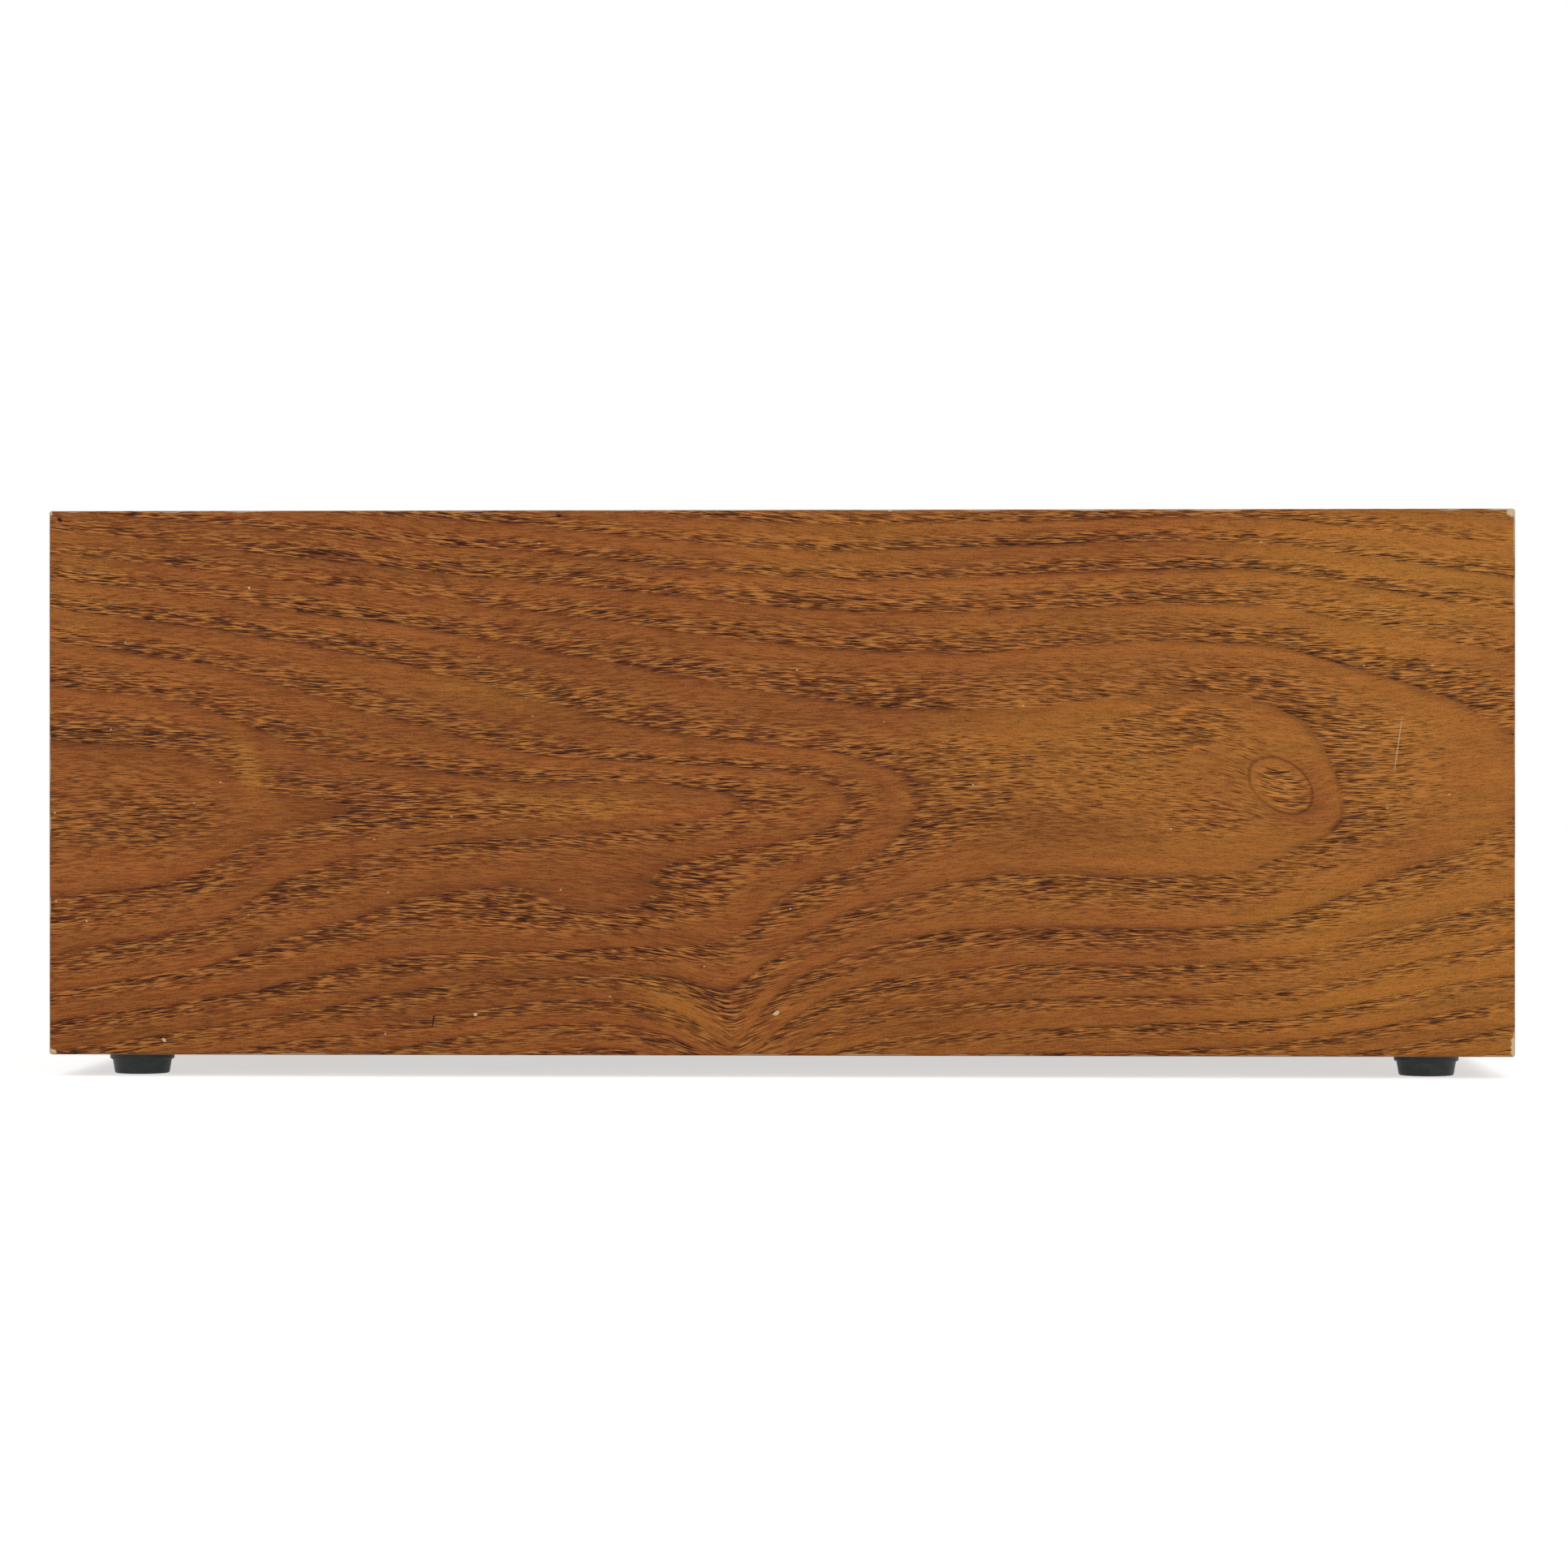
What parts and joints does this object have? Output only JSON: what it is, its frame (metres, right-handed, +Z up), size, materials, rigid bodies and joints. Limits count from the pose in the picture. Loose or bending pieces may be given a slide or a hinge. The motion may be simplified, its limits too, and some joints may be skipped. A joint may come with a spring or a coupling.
{
  "type": "donation box",
  "caption": "Low rectangular table-top donation box in veneered board on rubber feet, with an inlaid slot plate in the top and a lockable drop-down back door.",
  "frame": {"origin": "centre of the box's footprint on the table, hinge barrels counted in its depth", "axes": "+X to the right seen from the front, +Y towards the back door, +Z up"},
  "size_m": [0.36, 0.2346, 0.1395],
  "materials": {
    "veneered_board": "satin lacquer on elm-like veneer",
    "birch_board": "sanded",
    "beech_batten": "planed",
    "brass": "brushed",
    "zinc_plated_steel": "zinc plated",
    "nickel_plate": "nickel plated",
    "rubber": "matt moulded"
  },
  "bodies": {
    "case": {"front_panel": "veneered_board", "left_side_panel": "veneered_board", "right_side_panel": "veneered_board", "top_panel": "veneered_board", "base_panel": "birch_board", "front_bearer": "beech_batten", "left_bearer": "beech_batten", "right_bearer": "beech_batten", "glue_blocks": "beech_batten", "left_door_stop": "beech_batten", "right_door_stop": "beech_batten", "slot_plate": "brass", "slot_plate_screws": "brass", "left_hinge_base_leaf": "brass", "right_hinge_base_leaf": "brass", "left_hinge_pin": "brass", "right_hinge_pin": "brass", "hinge_base_screws": "brass", "slot_baffle": "zinc_plated_steel", "baffle_screws": "zinc_plated_steel", "lock_keeper": "zinc_plated_steel", "keeper_screws": "zinc_plated_steel", "base_screws": "zinc_plated_steel", "foot_washers": "zinc_plated_steel", "foot_screws": "zinc_plated_steel", "foot_front_left": "rubber", "foot_front_right": "rubber", "foot_rear_left": "rubber", "foot_rear_right": "rubber"},
    "door": {"rear_door": "veneered_board", "left_hinge_door_leaf": "brass", "right_hinge_door_leaf": "brass", "hinge_door_screws": "brass", "lock_housing": "nickel_plate", "lock_washer": "zinc_plated_steel", "lock_nut": "zinc_plated_steel"},
    "lock": {"lock_plug": "nickel_plate", "lock_cam": "zinc_plated_steel", "lock_cam_screw": "zinc_plated_steel"}
  },
  "joints": [
    {"name": "door_hinge", "type": "hinge", "parent": "case", "child": "door", "pos_m": [0, 0.11515, 0.0151], "axis": [-1, 0, 0], "range_deg": [0, 97]},
    {"name": "lock_turn", "type": "hinge", "parent": "door", "child": "lock", "pos_m": [0, 0.0965, 0.106], "axis": [0, -1, 0], "range_deg": [0, 90]}
  ]
}
